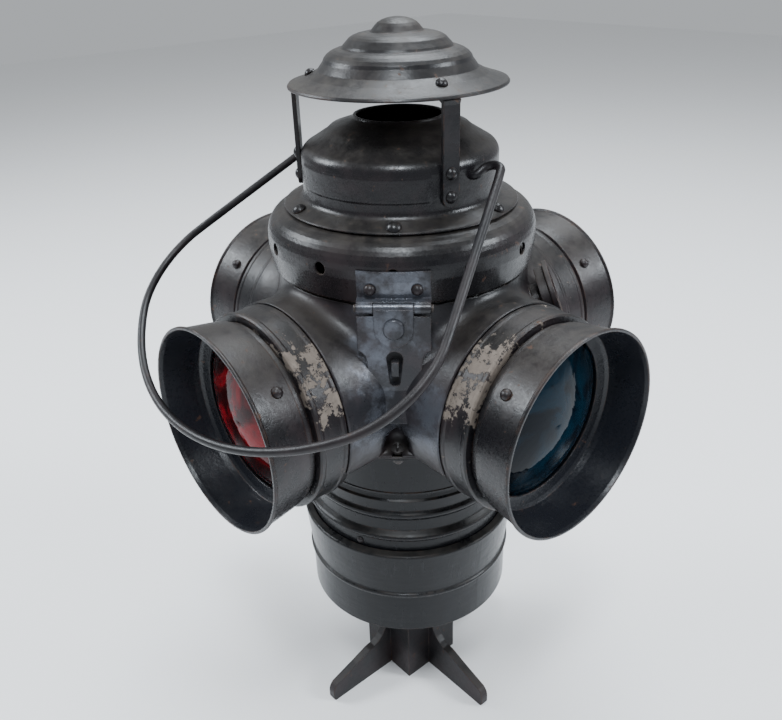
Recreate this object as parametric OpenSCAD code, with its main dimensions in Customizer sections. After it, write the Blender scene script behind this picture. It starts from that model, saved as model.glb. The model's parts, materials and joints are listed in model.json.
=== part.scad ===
/* [Lamp body] */
// Height of the four lens axes above the foot of the socket
lens_z = 275.6; // [268:0.2:284]
// Outer radius of the body wall just above the ledge
body_r_low = 84; // [82:0.5:86]
// Outer radius of the body wall at its top
body_r_top = 77; // [75:0.5:78]
// Height of the top of the body wall
body_top_z = 345; // [342:0.5:350]
// Height of the upper face of the ledge
ledge_z = 251.4; // [249:0.2:254]
// Distance from the lamp axis to the rounded corner of the ledge
ledge_r = 92; // [90:0.5:94]
// Radius of the ledge corner in plan
ledge_corner_r = 48; // [42:1:52]
// Thickness of the pressed sheet metal
sheet_t = 1.6; // [1.2:0.1:2]

/* [Lenses and hoods] */
// Diameter of a lens glass
lens_d = 104.8; // [100:0.4:108]
// Thickness of a lens at its edge
lens_edge = 4; // [3:0.5:5]
// Rise of the convex front of a lens
lens_rise = 14; // [8:0.5:18]
// Outer radius of a lens tube
tube_r = 55.6; // [55:0.1:56.4]
// Distance from the lamp axis to where a lens tube starts to flare
collar_start = 84; // [83:0.5:88]
// Outer radius of the band around a lens tube
band_r = 61.5; // [60.5:0.5:63]
// Length of the band along the lens axis
band_w = 20; // [16:1:22]
// Outer radius of the groove between the band and the hood
hood_neck_r = 57; // [56.6:0.1:58]
// Distance from the lamp axis to the front end of a lens tube
tube_end = 117.5; // [114:0.5:121]
// Distance from the lamp axis to the mouth of a lens hood
hood_mouth = 148.5; // [142:0.5:152]
// Outer radius of the hood's rolled mouth
hood_mouth_r = 63.6; // [62:0.2:65]

/* [Drum, cup and socket] */
// Outer radius of the lower drum
drum_r = 70.6; // [69:0.2:71.5]
// Radius of the upper drum bead
bead_a_r = 72.6; // [72:0.2:73.5]
// Height of the upper drum bead
bead_a_z = 190.6; // [188:0.2:193]
// Radius of the lower drum bead
bead_b_r = 74.2; // [73:0.2:75]
// Height of the lower drum bead
bead_b_z = 173.7; // [171:0.2:176]
// Radius of the cup's rim
cup_rim_r = 76; // [75.4:0.2:78]
// Height of the cup's rim
cup_rim_z = 159.5; // [157:0.5:163]
// Radius of the bottom of the cup
cup_foot_r = 72.4; // [71:0.2:74]
// Height of the bottom of the cup
cup_foot_z = 91.2; // [88:0.4:94]
// Height of the bead around the cup
cup_bead_z = 123.6; // [118:0.4:130]
// Outer width of the square mast socket
socket_w = 49; // [46:1:52]
// Wall thickness of the mast socket
socket_t = 5.5; // [4:0.5:7]
// Reach of a web foot from the lamp axis
web_reach = 83; // [76:1:88]
// Thickness of a web foot
web_t = 6; // [5:0.5:8]

/* [Lid] */
// Radius of the widest part of the draft hood
hood_r = 83; // [82:0.2:84]
// Radius of the lower edge of the draft hood
hood_low_r = 80.8; // [80:0.2:81.6]
// Height of the lower edge of the draft hood
hood_low_z = 345.4; // [345:0.2:346.4]
// Radius of the vent holes
vent_r = 3.6; // [2.5:0.1:4.5]
// Number of vent holes
vents = 12; // [12]
// Radius of the chimney drum
chimney_r = 59.2; // [57:0.2:60]
// Radius of the chimney's flange
flange_r = 71.5; // [70:0.5:73]
// Radius of the open neck at the top of the chimney
neck_r = 27; // [24:0.5:30]
// Height of the top of the neck
neck_z = 433; // [430:0.5:438]
// Radius of the rain cap's brim
cap_r = 64; // [62.5:0.5:68]
// Height of the rain cap's brim
cap_z = 450.5; // [448:0.5:458]
// Width of a cap strap
strap_w = 10; // [8:0.5:12]
// Thickness of a cap strap
strap_t = 2.6; // [2:0.2:3.2]

/* [Hinges and latch] */
// Distance from the lamp axis to the two hinge pins
pin_at_r = 86; // [85.5:0.1:87]
// Height of the two hinge pins
pin_z = 345.4; // [344.4:0.2:346]
// Length of a hinge barrel
barrel_l = 41; // [36:1:46]
// Radius of a hinge barrel
barrel_r = 3.3; // [3:0.1:3.6]
// Radius of a hinge pin
pin_r = 1.6; // [1.4:0.1:1.8]
// Length of the hasp below its pin
hasp_l = 70; // [64:1:74]

/* [Bail] */
// Radius of the bail wire
wire_r = 2.5; // [2:0.1:3]
// Height of the bail's pivot
bail_z = 406; // [403:0.5:408]
// Half the distance between the centres of the bail's two end loops
bail_half = 70; // [68:0.5:72]
// Radius of an end loop of the bail
bail_loop = 7; // [6:0.5:8]
// Angle at which the legs of the bail spread
bail_spread = 23; // [22:0.5:25]
// Radius of the elbow between an end loop and its pivot
bail_elbow = 3.2; // [3:0.1:4]
// Radius of the bail's corners
bail_corner = 62; // [58:1:66]
// Radius of the flat bottom bow of the bail
bail_bow = 150; // [145:1:160]
// Reach of the bail from its pivot
bail_reach = 204; // [200:1:208]
// Angle of the resting bail from straight down
bail_tilt = 55; // [54:0.5:58]

/* [Oil font] */
// Radius of the oil font
font_r = 54; // [46:1:55]
// Height of the top of the font's wall
font_top_z = 205; // [196:1:212]
// Height of the plate that the font stands on
pan_z = 138; // [134:1:144]

/* [Fits] */
// Gap between fixed pieces that are fitted together
fit = 0.1; // [0.05:0.05:0.2]
// Gap around pieces that move past each other
free = 0.3; // [0.25:0.05:0.5]
// Radial clearance of a pin in its bore
run = 0.06; // [0.03:0.01:0.1]

/* [Hidden] */
$fn = 72;

SIDES = ["front", "right", "back", "left"];
black = [0.10, 0.10, 0.11];
soot = [0.16, 0.15, 0.16];
steel = [0.30, 0.29, 0.30];
brass = [0.70, 0.56, 0.28];
red_glass = [0.45, 0.03, 0.05];
blue_glass = [0.05, 0.16, 0.22];

// The front lens looks along -Y and the right one along +X.
// The hasp is on the corner between them, the rear hinge is opposite it.
hasp_az = 45;
rear_az = hasp_az + 180;
sight_az = 135;

// Lens stack, measured along the lens axis from the lamp axis
tube_start = 60;
seat_z = tube_end - 8.5;
seat_t = 2;
gasket_t = 2;
lens_back = seat_z + seat_t + gasket_t;
lens_front_edge = lens_back + lens_edge;
lens_sphere = (pow(lens_d / 2, 2) + pow(lens_rise, 2)) / (2 * lens_rise);
bezel_r = lens_d / 2 - 2.4;
bezel_lift = sqrt(pow(lens_sphere, 2) - pow(bezel_r, 2)) - (lens_sphere - lens_rise);
bezel_back = lens_front_edge + bezel_lift + free;
band_back = tube_end - 1 - band_w;
collar_end_r = band_r - 0.9;
lug_drop = band_r + 3;
lug_screw_r = 2;
lug_front = bezel_back + 7;
hood_step_1 = 3.4;
hood_step_2 = 8.5;
hood_skirt_r = hood_neck_r + 2.8;
hood_rivet_at = bezel_back + 12;
hood_wall_slope = (hood_mouth_r - 1.2 - hood_skirt_r) / (hood_mouth - 2.4 - bezel_back - hood_step_2);
hood_rivet_r = hood_skirt_r + (hood_rivet_at + 3.4 - bezel_back - hood_step_2) * hood_wall_slope + 0.05;

// Lid
hood_top_z = 381;
flange_z = 384.4;
shoulder_z = 418;
flange_screw_r = 66.5;
flue_t = 1;
collar_r = 69.5;
collar_h = 7;
leaf_t = 1.4;
leaf_h = 17;
leaf_rivet_pitch = 25.8;
leaf_rivet_z = pin_z + 9.6;
knuckle_l = 9.2;
leaf_low_z = 317;
hasp_lean = 2.3;
hasp_t = 1.4;
hasp_y = -hasp_t - 0.6;
hasp_crease = 50;
hasp_flare = 12;
key_top = 30;
key_low = 43.8;
strap_low_z = 391;
strap_foot = 16;
foot_tilt = 20;
cap_rivet_r = 51;

// Socket casting
casting_flange_t = 5.6;
casting_flange_r = cup_foot_r - 8;
bolt_at_r = 50;
bolt_r = 3;
cup_floor_z = cup_foot_z + casting_flange_t;

// Oil font and burner
font_z = pan_z + sheet_t + free;
burner_z = font_top_z + 12;
burner_r = 15;
flame_z = lens_z - 8;
knob_z = burner_z + 20;
wick_w = 14;
wick_t = 2.4;

function arc(c, rx, ry, a0, a1, n = 8) =
    [for (i = [0:n]) let (a = a0 + (a1 - a0) * i / n) [c.x + rx * cos(a), c.y + ry * sin(a)]];
function rev(p) = [for (i = [len(p) - 1:-1:0]) p[i]];
function side_of(a, b) = [b.y - a.y, a.x - b.x] / norm(b - a);
function corner_in(p, i) =
    let (last = len(p) - 1,
         a = side_of(p[max(i - 1, 0)], p[max(i, 1)]),
         b = side_of(p[min(i, last - 1)], p[min(i + 1, last)]),
         m = (a + b) / norm(a + b))
    m / (m * a);
// Moves an outline, listed from the top outwards and down, in by t.
function inset(p, t) =
    [for (i = [0:len(p) - 1]) let (q = p[i] + t * corner_in(p, i)) [max(q.x, 0), q.y]];

module at_az(az) rotate([0, 0, az]) children();
module along_lens(i) translate([0, 0, lens_z]) rotate([0, 0, 90 * i]) rotate([90, 0, 0]) children();
module lathe(points) rotate_extrude() polygon(points);
module sheet(outline, t = sheet_t) lathe(concat(outline, rev(inset(outline, t))));
module filled(outline, low) lathe(concat([[0, outline[0].y]], outline, [[0, low]]));
module ring(r_in, r_out, z, h) translate([0, 0, z]) difference() {
    cylinder(h = h, r = r_out);
    translate([0, 0, -1]) cylinder(h = h + 2, r = r_in);
}
// A domed head standing on z = 0
module dome(r, h) intersection() {
    translate([0, 0, h - (r * r + h * h) / (2 * h)]) sphere(r = (r * r + h * h) / (2 * h));
    cylinder(h = h + 1, r = r + 1);
}
// A domed rivet or screw that points outwards along -Y at the lamp's wall
module wall_rivet(at_r, z, r, h, shank_r, depth) translate([0, -at_r, z]) rotate([90, 0, 0]) {
    dome(r, h);
    translate([0, 0, -depth]) cylinder(h = depth + 0.1, r = shank_r);
}

// ---- Base ----

web_outline = concat(
    [[socket_w / 2 - 1, 0], [web_reach - 1.5, 0], [web_reach, 2]],
    arc([web_reach - 9, 8], 9, 9, 0, 55, 4),
    [[59, 22.5], [46, 27.5]],
    arc([46, 52], 19, 24.5, 255, 185, 5),
    [[25.6, 70], [socket_w / 2 - 1, cup_foot_z]]);

module mast_socket() color(black) difference() {
    union() {
        translate([-socket_w / 2, -socket_w / 2, 0]) cube([socket_w, socket_w, cup_foot_z + 1]);
        for (i = [0:3]) rotate([0, 0, 90 * i]) translate([0, web_t / 2, 0]) rotate([90, 0, 0])
            linear_extrude(web_t) polygon(web_outline);
        translate([0, 0, cup_foot_z]) cylinder(h = casting_flange_t, r = casting_flange_r);
    }
    bore = socket_w - 2 * socket_t;
    translate([-bore / 2, -bore / 2, -1]) cube([bore, bore, cup_foot_z + 1]);
    for (i = [0:3]) at_az(hasp_az + 90 * i) translate([0, -bolt_at_r, cup_foot_z - 1])
        cylinder(h = casting_flange_t + 2, r = bolt_r + fit);
}

module socket_bolts() color(steel) for (i = [0:3]) at_az(hasp_az + 90 * i)
    translate([0, -bolt_at_r, 0]) {
        translate([0, 0, cup_foot_z - 4.2]) cylinder(h = 4.2, r = 5.2, $fn = 6);
        translate([0, 0, cup_foot_z - 0.1]) cylinder(h = casting_flange_t + sheet_t + 7, r = bolt_r);
        translate([0, 0, cup_floor_z + sheet_t + fit]) cylinder(h = 4, r = 5.2, $fn = 6);
    }

cup_outline = concat(
    [[drum_r + 0.5, cup_rim_z + 1.6], [cup_rim_r - 1.8, cup_rim_z + 0.6]],
    arc([cup_rim_r - 1.8, cup_rim_z - 1.2], 1.8, 1.8, 75, 0, 3),
    [[cup_rim_r - 3.1, cup_bead_z + 2.6]],
    arc([cup_rim_r - 3.5, cup_bead_z], 1.7, 1.9, 70, -70, 4),
    [[cup_rim_r - 3.4, cup_bead_z - 2.6], [cup_foot_r, cup_foot_z]]);

module base_cup() color(black) difference() {
    union() {
        sheet(cup_outline);
        translate([0, 0, cup_floor_z]) cylinder(h = sheet_t, r = cup_foot_r - 0.8);
    }
    for (i = [0:3]) at_az(hasp_az + 90 * i) translate([0, -bolt_at_r, cup_floor_z - 1])
        cylinder(h = sheet_t + 2, r = bolt_r + fit);
}

drum_outline = concat(
    [[drum_r, ledge_z - 2 * sheet_t - fit], [drum_r, 209]],
    arc([drum_r + 0.6, 205.5], 1.8, 3.4, 90, 270, 4),
    [[drum_r, bead_a_z + 3.5]],
    arc([bead_a_r - 2.4, bead_a_z], 2.4, 2.6, 60, -60, 4),
    [[drum_r, bead_a_z - 4], [drum_r, bead_b_z + 4.4]],
    arc([bead_b_r - 3.4, bead_b_z], 3.4, 2.8, 60, -60, 4),
    [[drum_r, bead_b_z - 4.6], [drum_r, pan_z - 6]]);

module ledge_plan(r) {
    shift = (ledge_r - ledge_corner_r) / sqrt(2);
    cut = ledge_r - r;
    reach = shift + ledge_corner_r - cut;
    for (x = [-shift, shift], y = [-shift, shift]) translate([x, y]) circle(r = ledge_corner_r - cut);
    square([2 * reach, 2 * shift], center = true);
    square([2 * shift, 2 * reach], center = true);
}
module tube_holes() for (i = [0:3]) along_lens(i)
    translate([0, 0, tube_start - 2]) cylinder(h = 60, r = tube_r + fit);
module ledge_holes() for (i = [0:3]) at_az(hasp_az + 90 * i)
    translate([0, -body_r_low, ledge_z - 8]) cylinder(h = 20, r = 2 + fit);

module lower_drum() color(black) difference() {
    union() {
        sheet(drum_outline);
        translate([0, 0, ledge_z - 2 * sheet_t - fit]) linear_extrude(sheet_t) ledge_plan(ledge_r - 0.8);
    }
    translate([0, 0, ledge_z - 9]) cylinder(h = 12, r = drum_r - sheet_t);
    tube_holes();
    ledge_holes();
    for (i = [0:3]) at_az(rivet_az(i)) translate([0, 0, cup_rim_z + 5.4]) rotate([90, 0, 0])
        cylinder(h = 90, r = 1.2 + fit);
}
function rivet_az(i) = hasp_az - 24 + 90 * i;

module cup_rivets() color(soot) for (i = [0:3]) at_az(rivet_az(i))
    wall_rivet(drum_r + 0.02, cup_rim_z + 5.4, 2.6, 1.8, 1.2, sheet_t + 0.6);

module floor_pan() color(steel) {
    difference() {
        translate([0, 0, pan_z]) cylinder(h = sheet_t, r = drum_r - sheet_t - fit);
        translate([0, 0, pan_z - 1]) cylinder(h = sheet_t + 2, r = 22);
    }
    ring(drum_r - 2 * sheet_t - fit, drum_r - sheet_t - fit, pan_z - 5, 6);
}

module font_seat() color(steel) {
    ring(font_r + free, font_r + free + 1.4, pan_z + sheet_t, 12);
    for (i = [0:2]) at_az(120 * i + 15) translate([-6, -font_r - 10, pan_z + sheet_t]) difference() {
        cube([12, 9.2, 1.4]);
        translate([6, 3.6, -1]) cylinder(h = 4, r = 1.6);
    }
}

// ---- Body with its four lens openings ----

flare_z = ledge_z + 10;
well_r = 6.8;
// The four corners of the ledge, where its screws stand
module at_ledge() for (i = [0:3]) at_az(hasp_az + 90 * i) translate([0, -body_r_low, ledge_z]) children();

module body_cone(in) translate([0, 0, flare_z])
    cylinder(h = body_top_z - flare_z, r1 = body_r_low - 1 - in, r2 = body_r_top - in);
module ledge_flare(in) intersection() {
    translate([0, 0, ledge_z - 1]) cylinder(h = flare_z - ledge_z + 1, r1 = ledge_r + 1 - in, r2 = body_r_low - 1 - in);
    translate([0, 0, ledge_z - sheet_t]) linear_extrude(16) ledge_plan(ledge_r - in);
}

module body_shell() color(black) difference() {
    union() {
        body_cone(0);
        ledge_flare(0);
        translate([0, 0, ledge_z - sheet_t]) linear_extrude(sheet_t) ledge_plan(ledge_r);
        translate([0, 0, body_top_z - 1]) cylinder(h = collar_h + 1, r = collar_r);
    }
    difference() {
        union() {
            translate([0, 0, ledge_z]) cylinder(h = flare_z - ledge_z + 1, r = body_r_low - 1 - sheet_t);
            intersection() {
                body_cone(sheet_t);
                cylinder(h = body_top_z - sheet_t, r = 100);
            }
        }
        at_ledge() translate([0, 0, -3]) cylinder(h = flare_z - ledge_z + 6, r = well_r + sheet_t);
    }
    translate([0, 0, ledge_z - 3]) cylinder(h = 4, r = body_r_low - 8.7);
    translate([0, 0, body_top_z - 4]) cylinder(h = 20, r = collar_r - sheet_t);
    tube_holes();
    ledge_holes();
    at_ledge() cylinder(h = flare_z - ledge_z + 1.5, r = well_r);
    at_sight() translate([0, 0, -34]) cylinder(h = 40, r = sight_r + fit);
}

module ledge_screws() color(steel) for (i = [0:3]) at_az(hasp_az + 90 * i)
    translate([0, -body_r_low, 0]) difference() {
        union() {
            translate([0, 0, ledge_z + fit]) cylinder(h = 2, r = 5.4);
            translate([0, 0, ledge_z + 2 + fit]) dome(5.4, 1.6);
            translate([0, 0, ledge_z - 2 * sheet_t - 6]) cylinder(h = 2 * sheet_t + 7, r = 2);
        }
        translate([-0.6, -8, ledge_z + 2]) cube([1.2, 16, 4]);
    }
module ledge_nuts() color(steel) for (i = [0:3]) at_az(hasp_az + 90 * i)
    translate([0, -body_r_low, ledge_z - 2 * sheet_t - 3.6 - fit]) difference() {
        cylinder(h = 3.4, r = 4.6, $fn = 6);
        translate([0, 0, -1]) cylinder(h = 6, r = 2 + fit);
    }

module lens_tube(i) color(black) along_lens(i) {
    ring(tube_r - sheet_t, tube_r, tube_start, tube_end - tube_start);
    ring(lens_d / 2 - 5.4, tube_r - 0.4, seat_z, seat_t);
    lathe([[tube_r - 0.4, collar_start], [tube_r + 0.6, collar_start], [collar_end_r, band_back - 3],
        [collar_end_r, band_back - fit], [collar_end_r - sheet_t, band_back - fit],
        [collar_end_r - sheet_t, band_back - 2.4], [tube_r - 0.4, collar_start + 3]]);
}

module lens_band(i) color(black) along_lens(i) {
    lathe([[tube_r + fit, band_back], [band_r - 0.9, band_back], [band_r, band_back + 0.9],
        [band_r, band_back + 3], [band_r - 0.5, band_back + 4], [band_r - 0.5, band_back + band_w - 4],
        [band_r, band_back + band_w - 3], [band_r, band_back + band_w - 0.9],
        [band_r - 0.9, band_back + band_w], [tube_r + fit, band_back + band_w],
        [tube_r + fit, band_back + band_w - sheet_t], [band_r - 0.6 - sheet_t, band_back + band_w - sheet_t],
        [band_r - 0.6 - sheet_t, band_back + sheet_t], [tube_r + fit, band_back + sheet_t]]);
    difference() {
        translate([-5, -lug_drop - 4.5, band_back + band_w - 6]) cube([10, 8, 6]);
        translate([0, -lug_drop, 0]) cylinder(h = 200, r = lug_screw_r + fit);
        cylinder(h = 200, r = band_r - 1);
    }
}

module lens_hood(i) color(black) along_lens(i) {
    neck = hood_neck_r;
    t = sheet_t - 0.2;
    lathe([[neck - 3, tube_end + fit], [neck, tube_end + fit], [neck, bezel_back + 2.4],
        [neck + 1.9, bezel_back + hood_step_1], [hood_skirt_r, bezel_back + hood_step_2],
        [hood_mouth_r - 1.2, hood_mouth - 2.4],
        [hood_mouth_r, hood_mouth - 1.4], [hood_mouth_r, hood_mouth - 0.5], [hood_mouth_r - 0.6, hood_mouth],
        [hood_mouth_r - 1.8, hood_mouth], [hood_mouth_r - 1.2 - t, hood_mouth - 2.4],
        [hood_skirt_r - t, bezel_back + hood_step_2], [neck + 1.9 - t, bezel_back + hood_step_1 + 1.2],
        [neck - 1.6, bezel_back + 3.2], [bezel_r, bezel_back + 1.5], [bezel_r, bezel_back],
        [neck - 3, bezel_back]]);
    difference() {
        translate([-5, -lug_drop - 4.5, bezel_back + 3.6]) cube([10, lug_drop + 4.5 - neck, 3.4]);
        translate([0, -lug_drop, 0]) cylinder(h = 200, r = lug_screw_r + fit);
        cylinder(h = 200, r = neck + 1);
    }
}

module lens(i) color(i % 2 == 0 ? red_glass : blue_glass) along_lens(i) {
    translate([0, 0, lens_back]) cylinder(h = lens_edge, r = lens_d / 2);
    intersection() {
        translate([0, 0, lens_front_edge + lens_rise - lens_sphere]) sphere(r = lens_sphere);
        translate([0, 0, lens_back + 1]) cylinder(h = lens_rise + lens_edge, r = lens_d / 2 - 0.01);
    }
}

module lens_gaskets() color([0.2, 0.19, 0.18]) for (i = [0:3]) along_lens(i)
    ring(lens_d / 2 - 5, lens_d / 2 + 1.2, seat_z + seat_t, gasket_t);

module hood_screws() color(steel) for (i = [0:3]) along_lens(i) translate([0, -lug_drop, 0]) {
    translate([0, 0, band_back + band_w - 11]) cylinder(h = lug_front - band_back - band_w + 12, r = lug_screw_r);
    translate([0, 0, lug_front + fit]) cylinder(h = 2.6, r = 3.8);
}
module hood_nuts() color(steel) for (i = [0:3]) along_lens(i)
    translate([0, -lug_drop, band_back + band_w - 6 - 3.2 - fit]) difference() {
        cylinder(h = 3.2, r = 4, $fn = 6);
        translate([0, 0, -1]) cylinder(h = 6, r = lug_screw_r + fit);
    }
module hood_rivets() color(soot) for (i = [0:3], a = [-50, 50]) along_lens(i) rotate([0, 0, a])
    translate([0, hood_rivet_r, hood_rivet_at]) rotate([-90, 0, 0]) dome(3.4, 2.6);

sight_r = 11;
sight_bell_r = 20;
sight_tilt = 21;
module at_sight() at_az(sight_az) translate([0, -99, 317]) rotate([90 - sight_tilt, 0, 0]) children();
module sight_tube() color(black) difference() {
    union() {
        at_sight() {
            ring(sight_r - sheet_t, sight_r, -27, 18.5);
            ring(sight_r - sheet_t, sight_bell_r, -9, sheet_t);
            ring(sight_bell_r - sheet_t, sight_bell_r, -9, 9);
            ring(sight_bell_r - 0.4, sight_bell_r + 3, -3, 3);
        }
        difference() {
            at_sight() ring(sight_r - 0.4, sight_r + 7, -17, 2.4);
            body_cone(-fit);
        }
    }
    tube_holes();
}
module sight_glass() color([0.5, 0.5, 0.45]) at_sight()
    translate([0, 0, -9 + sheet_t + fit]) cylinder(h = 2.4, r = sight_bell_r - sheet_t - fit);

// ---- Lid: draft hood, chimney, straps and rain cap ----

hood_outline = concat(
    [[chimney_r - 6, flange_z + 1], [flange_r + 0.5, hood_top_z - 1]],
    arc([hood_r - 11.5, hood_top_z - 16.5], 11.5, 15, 80, 0, 7),
    [[hood_r, hood_low_z + 14], [hood_low_r, hood_low_z]]);
function skirt_r(z) = hood_low_r + (hood_r - hood_low_r) * min(1, (z - hood_low_z) / 14);

module draft_hood() color(black) difference() {
    sheet(hood_outline);
    for (k = [0:vents - 1]) at_az(hasp_az + k * 360 / vents) translate([0, 0, hood_low_z + 17.6])
        rotate([90, 0, 0]) translate([0, 0, 60]) cylinder(h = 40, r = vent_r);
    for (k = [0:5]) at_az(hasp_az + 60 * k) translate([0, -flange_screw_r, 370]) cylinder(h = 20, r = 2 + fit);
    for (az = [hasp_az, rear_az], s = [-1, 1]) at_az(az) translate([s * leaf_rivet_pitch / 2, 0, leaf_rivet_z])
        rotate([90, 0, 0]) translate([0, 0, 60]) cylinder(h = 40, r = 1.6 + fit);
}

chimney_outline = concat(
    [[neck_r, neck_z]],
    arc([neck_r + 6, neck_z - 0.6], 6, 3.2, 190, 250, 3),
    [[chimney_r - 5.2, shoulder_z]],
    arc([chimney_r - 8, shoulder_z - 8.2], 8, 8, 66, 0, 5),
    [[chimney_r, 390.6]],
    arc([chimney_r + 4.6, 390.6], 4.6, 4.6, 185, 250, 4),
    [[flange_r, hood_top_z + 1.3]]);

module chimney() color(black) difference() {
    sheet(chimney_outline, 1.5);
    for (s = [-1, 1]) translate([s * 50, 0, bail_z]) rotate([0, 90, 0]) translate([0, 0, -15]) cylinder(h = 30, r = wire_r + run);
    for (k = [0:5]) at_az(hasp_az + 60 * k) translate([0, -flange_screw_r, 370]) cylinder(h = 20, r = 2 + fit);
    for (k = [0:2], z = strap_rivet_z) at_az(strap_az(k)) translate([0, 0, z]) rotate([90, 0, 0])
        translate([0, 0, 40]) cylinder(h = 40, r = 1.6 + fit);
}

flange_rise = 3.45;
flange_slope = 23.3;
module flange_screws() color(steel) for (k = [0:5]) at_az(hasp_az + 60 * k)
    translate([0, -flange_screw_r, hood_top_z + flange_rise]) {
        rotate([flange_slope, 0, 0]) translate([0, 0, 0.15]) dome(4.3, 2.8);
        translate([0, 0, -8]) cylinder(h = 9, r = 2);
    }

module inner_flue() color(steel) sheet([[34, 398], [40, 394], [62, 372.4], [hood_r - 2.9, 370.4]], flue_t);

function strap_az(k) = hasp_az + 30 + 120 * k;
strap_rivet_z = [397, 410];
strap_r = chimney_r + 0.3;
module cap_strap(k) color(black) at_az(strap_az(k)) difference() {
    union() {
        translate([-strap_w / 2, -strap_r - strap_t, strap_low_z + strap_w / 2])
            cube([strap_w, strap_t, strap_foot_z + 2 - strap_low_z - strap_w / 2]);
        translate([0, -strap_r, strap_low_z + strap_w / 2]) rotate([90, 0, 0]) cylinder(h = strap_t, r = strap_w / 2);
        translate([-strap_w / 2, -strap_r - strap_t, strap_foot_z]) rotate([foot_tilt, 0, 0])
            cube([strap_w, strap_foot, strap_t]);
    }
    for (z = strap_rivet_z) translate([0, 0, z]) rotate([90, 0, 0]) translate([0, 0, 40])
        cylinder(h = 40, r = 1.6 + fit);
    translate([0, -cap_rivet_r, strap_foot_z - 10]) cylinder(h = 20, r = 1.6 + fit);
}
module strap_rivets() color(soot) for (k = [0:2], z = strap_rivet_z) at_az(strap_az(k))
    wall_rivet(strap_r + strap_t + 0.02, z, 3.6, 2.4, 1.6, strap_t + 3);

strap_foot_z = cap_z - 4.3;
cap_outline = concat(
    [[0, cap_z + 34.1]],
    arc([0, cap_z + 27.6], 13.4, 6.5, 80, 20, 4),
    [[14.7, cap_z + 27.4], [15.6, cap_z + 26.6]],
    arc([15, cap_z + 20.6], 14.4, 6.0, 85, 14, 5),
    [[31, cap_z + 20], [32, cap_z + 18.6]],
    arc([30, cap_z + 10.4], 13.2, 8.2, 80, 8, 5),
    [[44.6, cap_z + 9.6], [46.4, cap_z + 7.2], [52, cap_z + 4.2], [61, cap_z + 1.2],
        [cap_r - 0.8, cap_z + 0.6], [cap_r, cap_z - 0.5], [cap_r - 0.1, cap_z - 1.2]]);

module rain_cap() color(black) difference() {
    sheet(cap_outline, 1.5);
    for (k = [0:2]) at_az(strap_az(k)) translate([0, -cap_rivet_r, cap_z - 10]) cylinder(h = 30, r = 1.6 + fit);
}
module cap_rivets() color(soot) for (k = [0:2]) at_az(strap_az(k)) translate([0, -cap_rivet_r, 0]) {
    translate([0, 0, cap_z + 4.75]) rotate([28, 0, 0]) translate([0, 0, 0.5]) dome(3.4, 2.2);
    translate([0, 0, strap_foot_z + 1.4]) cylinder(h = cap_z + 4.6 - strap_foot_z, r = 1.6);
}

// ---- Hinges, hasp and catch ----

// A leaf bent to the skirt of the draft hood, with two knuckles under it
module skirt_leaf() difference() {
    union() {
        intersection() {
            lathe(concat(
                [for (z = [pin_z + 3, hood_low_z + 14, pin_z + 3 + leaf_h]) [skirt_r(z) + fit, z]],
                [for (z = [pin_z + 3 + leaf_h, hood_low_z + 14, pin_z + 3]) [skirt_r(z) + fit + leaf_t, z]]));
            translate([-barrel_l / 2, -100, pin_z]) cube([barrel_l, 60, 40]);
        }
        translate([-barrel_l / 2, -pin_at_r - 1, pin_z + 1]) cube([barrel_l, 8, 3]);
        translate([-barrel_l / 2, -pin_at_r, pin_z]) rotate([0, 90, 0]) cylinder(h = barrel_l, r = barrel_r);
    }
    translate([-barrel_l, -pin_at_r, pin_z]) rotate([0, 90, 0]) cylinder(h = 2 * barrel_l, r = pin_r + run);
    inner_l = barrel_l - 2 * knuckle_l;
    translate([-inner_l / 2, -pin_at_r - 5, pin_z - 5]) cube([inner_l, 12, 5 + barrel_r + free]);
    lathe([[0, hood_low_z - 8], [skirt_r(hood_low_z) + fit - 1.1, hood_low_z - 7],
        [skirt_r(hood_low_z) + fit, hood_low_z], [hood_r + fit, hood_low_z + 14], [hood_r + fit, 380], [0, 380]]);
    for (s = [-1, 1]) translate([s * leaf_rivet_pitch / 2, 0, leaf_rivet_z])
        rotate([90, 0, 0]) translate([0, 0, 60]) cylinder(h = 40, r = 1.6 + fit);
}
module hasp_leaf() color(black) at_az(hasp_az) skirt_leaf();
module lid_hinge_leaf() color(black) at_az(rear_az) skirt_leaf();

module leaf_rivets() color(soot) for (az = [hasp_az, rear_az], s = [-1, 1]) at_az(az)
    translate([s * leaf_rivet_pitch / 2, 0, 0])
    wall_rivet(hood_r + leaf_t - 0.5, leaf_rivet_z, 3.3, 2.4, 1.6, 6);

module pin_piece(az) at_az(az) translate([0, -pin_at_r, pin_z]) rotate([0, 90, 0]) {
    translate([0, 0, -barrel_l / 2 - 0.6]) cylinder(h = barrel_l + 1.2, r = pin_r);
    for (s = [-1, 1]) translate([0, 0, s * (barrel_l / 2 + 0.7) - 0.6]) cylinder(h = 1.2, r = pin_r + 0.7);
}
module hasp_pin() color(steel) pin_piece(hasp_az);
module rear_hinge_pin() color(steel) pin_piece(rear_az);

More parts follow.
